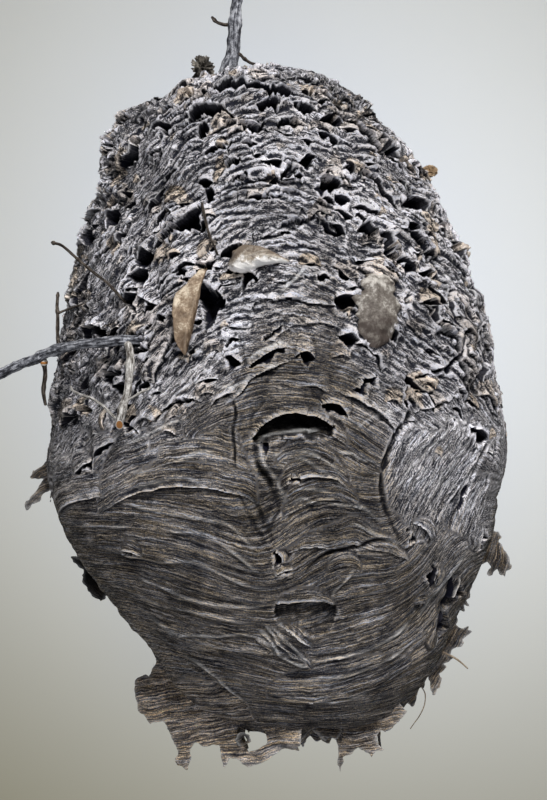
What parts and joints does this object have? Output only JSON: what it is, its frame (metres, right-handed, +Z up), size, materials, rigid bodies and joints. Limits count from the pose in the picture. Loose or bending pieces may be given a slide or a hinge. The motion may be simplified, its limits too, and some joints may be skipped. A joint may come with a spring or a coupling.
{
  "type": "hornet nest",
  "caption": "Paper nest of hornets, lobed and torn at its lower end, with the stems and dry leaves it was built round; lies on its flattened back.",
  "frame": {"origin": "on the flattened back that the nest rests on, under the middle of its body", "axes": "+Y along the nest towards its crown and stem, +Z up from the rest face towards the side that is seen, +X to the right of that side"},
  "size_m": [0.3832, 0.5764, 0.3034],
  "materials": {
    "nest_paper": "dry fibrous paper in grey, tan and brown bands, matt",
    "grey_bark": "dry grey bark, matt",
    "dry_leaf": "dry brown leaf, matt with a faint sheen"
  },
  "bodies": {
    "root": {"nest_envelope": "nest_paper", "top_stem": "grey_bark", "top_stem_spur": "grey_bark", "top_stem_twig": "grey_bark", "side_branch": "grey_bark", "fork_stub": "grey_bark", "stub_twig": "grey_bark", "stub_spur": "grey_bark", "upright_twig": "grey_bark", "upright_twig_spur": "grey_bark", "hanging_twig": "grey_bark", "curved_twig": "grey_bark", "thin_twig": "grey_bark", "pointed_leaf": "dry_leaf", "pale_leaf": "dry_leaf", "round_leaf": "dry_leaf", "top_bud_tuft": "dry_leaf", "edge_scrap": "dry_leaf"}
  },
  "joints": []
}
